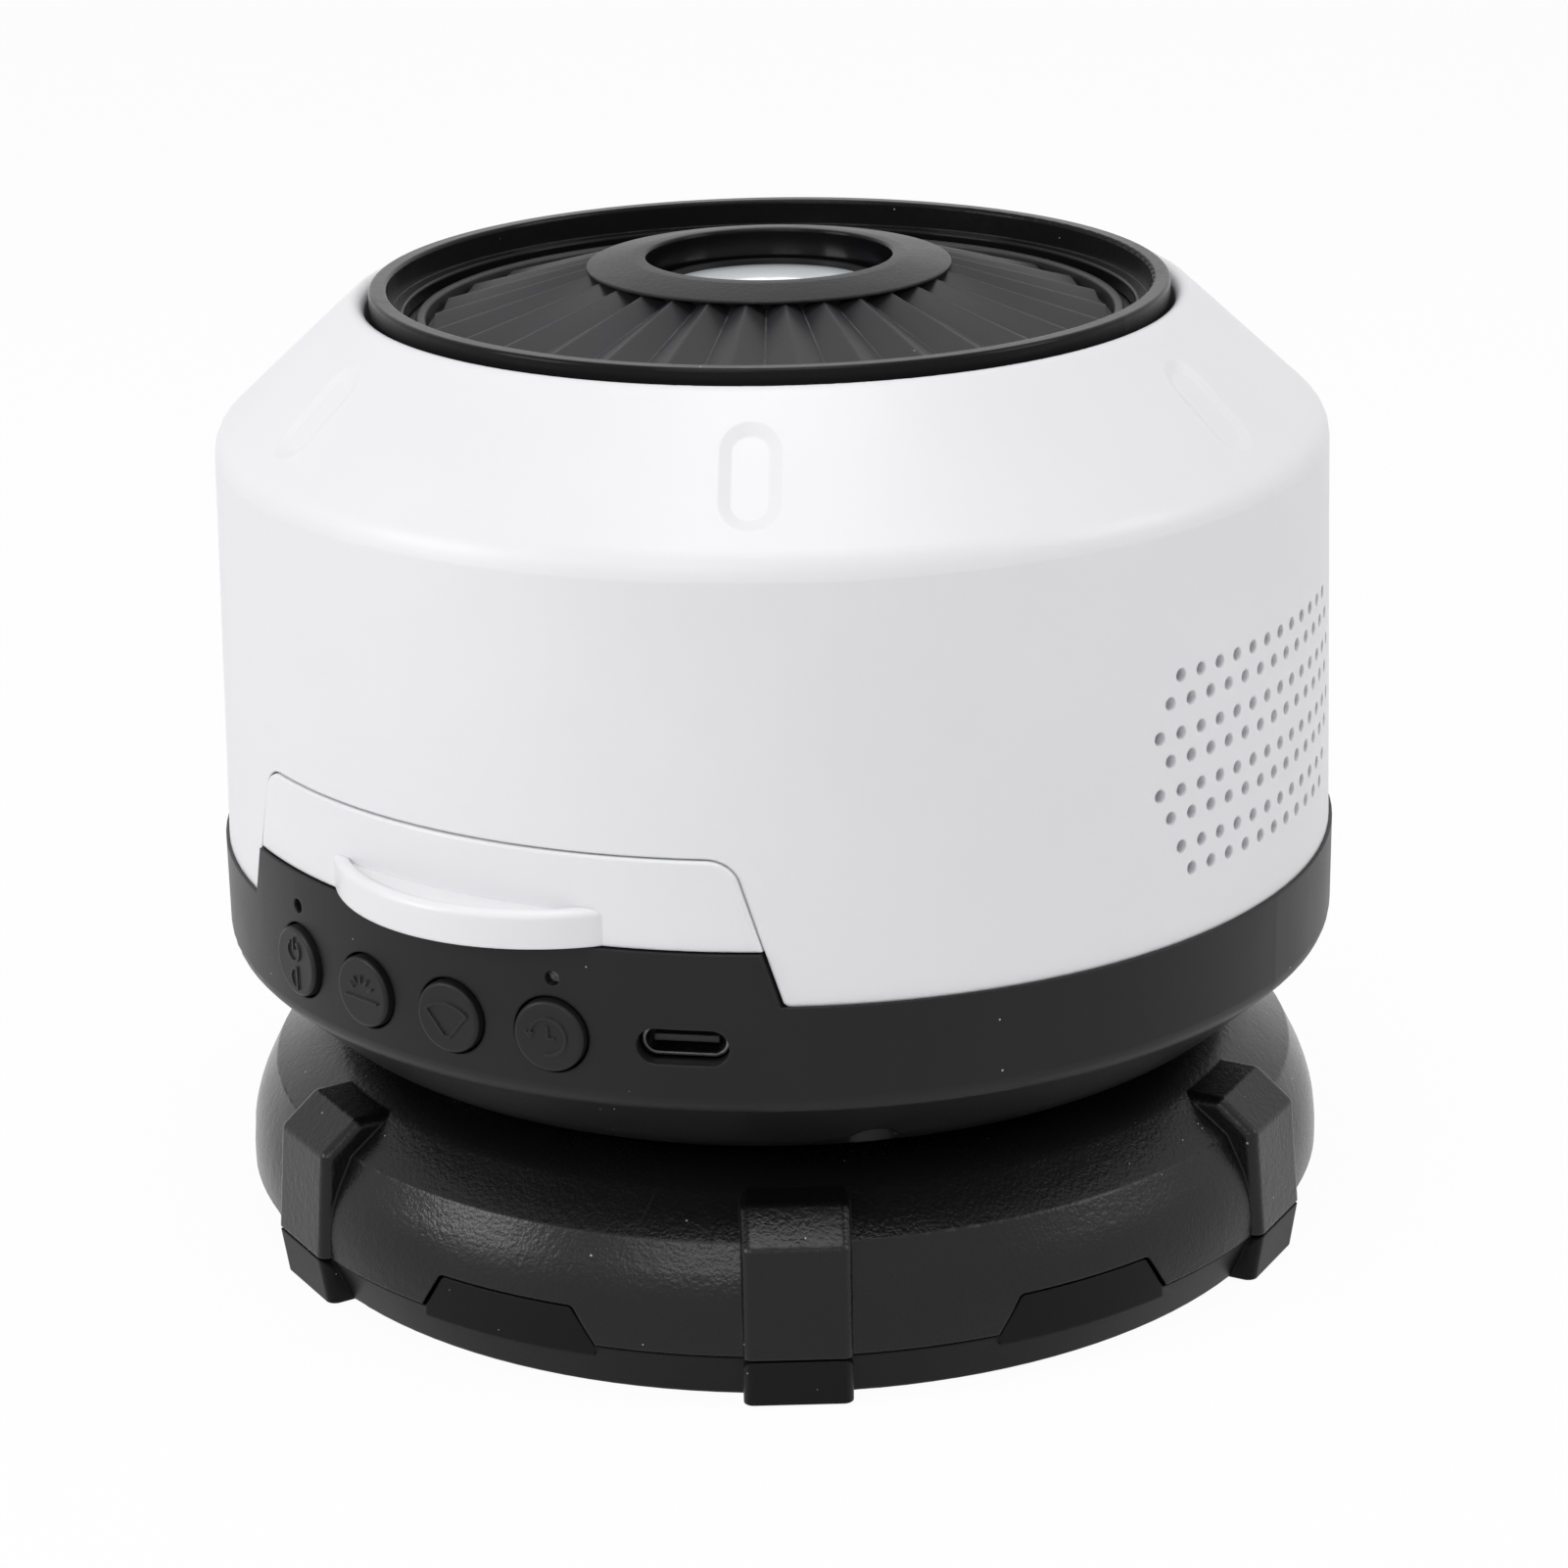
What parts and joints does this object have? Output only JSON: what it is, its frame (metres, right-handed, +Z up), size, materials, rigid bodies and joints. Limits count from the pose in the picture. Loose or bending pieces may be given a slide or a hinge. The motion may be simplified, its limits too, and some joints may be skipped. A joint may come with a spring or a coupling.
{
  "type": "planetarium projector",
  "caption": "Tabletop planetarium projector: swivelling head with sliding film tray, pleated focus dial and lens on a round ballasted base.",
  "frame": {"origin": "on the swivel axis, in the surface that the rubber pads stand on, at the middle of the central pad", "axes": "+Z up along the swivel and lens axis; -Y is the front, with the film tray and the buttons; +X is the side with the speaker"},
  "size_m": [0.1258, 0.1304, 0.1088],
  "materials": {
    "white_shell": "fine satin moulded ABS",
    "black_shell": "satin moulded ABS",
    "grained_black": "spark-eroded grain",
    "gloss_black": "polished",
    "button_black": "satin",
    "rubber": "matte",
    "steel": "plain",
    "screw_steel": "zinc plated",
    "aluminium": "machined",
    "brass": "turned",
    "glass": "polished",
    "film": "printed transparency",
    "acetal": "natural acetal",
    "frame_grey": "moulded ABS",
    "board_green": "solder mask",
    "chip_black": "epoxy",
    "led_yellow": "phosphor",
    "clear_pipe": "clear acrylic",
    "cell_wrap": "shrink sleeve",
    "foam": "foam",
    "cone_paper": "pulp"
  },
  "bodies": {
    "base": {"base_lower_shell": "grained_black", "base_upper_shell": "grained_black", "base_screws": "screw_steel", "foot_pads": "rubber", "ballast_plate": "steel", "glide_washer": "acetal"},
    "head": {"lower_casing": "black_shell", "swivel_retainer": "acetal", "retainer_screws": "screw_steel", "upper_casing": "white_shell", "case_screws": "screw_steel", "bezel_ring": "gloss_black", "bezel_screws": "screw_steel", "guide_tube": "frame_grey", "guide_screws": "screw_steel", "optics_deck": "frame_grey", "deck_screws": "screw_steel", "gear_motor": "steel", "heat_sink": "aluminium", "led_board": "aluminium", "led_emitter": "led_yellow", "condenser_holder": "frame_grey", "condenser_lens": "glass", "lamp_screws": "screw_steel", "main_board": "board_green", "control_chip": "chip_black", "tact_switches": "chip_black", "usb_shell": "steel", "usb_tongue": "chip_black", "indicator_leds": "led_yellow", "light_pipes": "clear_pipe", "battery_cell": "cell_wrap", "battery_cradle": "frame_grey", "speaker_frame": "steel", "speaker_cone": "cone_paper", "speaker_magnet": "steel", "speaker_gasket": "foam"},
    "tray": {"film_tray": "frame_grey", "tray_front": "white_shell", "tray_screws": "screw_steel"},
    "disc": {"disc_carrier": "acetal", "film_disc": "film"},
    "pinion": {"drive_pinion": "acetal", "motor_shaft": "steel"},
    "dial": {"focus_dial": "black_shell", "cam_sleeve": "acetal", "sleeve_screws": "screw_steel"},
    "lens": {"lens_barrel": "black_shell", "front_lens": "glass", "rear_lens": "glass", "lens_retaining_ring": "black_shell", "cam_pins": "brass"},
    "power_key": {"button_power": "button_black"},
    "brightness_key": {"button_brightness": "button_black"},
    "rotation_key": {"button_rotation": "button_black"},
    "timer_key": {"button_timer": "button_black"}
  },
  "joints": [
    {"name": "head_swivel", "type": "hinge", "parent": "base", "child": "head", "pos_m": [0, 0, 0.0224], "axis": [0, 0, 1], "continuous": true},
    {"name": "tray_slide", "type": "slide", "parent": "head", "child": "tray", "axis": [0, -1, 0], "range_m": [0, 0.062]},
    {"name": "disc_turn", "type": "hinge", "parent": "tray", "child": "disc", "pos_m": [0, 0, 0.055], "axis": [0, 0, 1], "continuous": true},
    {"name": "pinion_turn", "type": "hinge", "parent": "head", "child": "pinion", "pos_m": [0, 0.031, 0.056], "axis": [0, 0, 1], "continuous": true},
    {"name": "focus_turn", "type": "hinge", "parent": "head", "child": "dial", "pos_m": [0, 0, 0.1], "axis": [0, 0, 1], "range_deg": [-45, 45]},
    {"name": "lens_slide", "type": "slide", "parent": "head", "child": "lens", "axis": [0, 0, 1], "range_m": [-0.002, 0.002]},
    {"name": "power_press", "type": "slide", "parent": "head", "child": "power_key", "axis": [0.3746, 0.9272, 0], "range_m": [0, 0.0008], "stiffness_N_per_m": 800},
    {"name": "brightness_press", "type": "slide", "parent": "head", "child": "brightness_key", "axis": [0.1942, 0.981, 0], "range_m": [0, 0.0008], "stiffness_N_per_m": 800},
    {"name": "rotation_press", "type": "slide", "parent": "head", "child": "rotation_key", "axis": [0.007, 1, 0], "range_m": [0, 0.0008], "stiffness_N_per_m": 800},
    {"name": "timer_press", "type": "slide", "parent": "head", "child": "timer_key", "axis": [-0.1805, 0.9836, 0], "range_m": [0, 0.0008], "stiffness_N_per_m": 800}
  ],
  "couplings": [
    {"joint": "pinion_turn", "follows": "disc_turn", "ratio": -6.75},
    {"joint": "lens_slide", "follows": "focus_turn", "m_per_rad": 0.0025465}
  ]
}
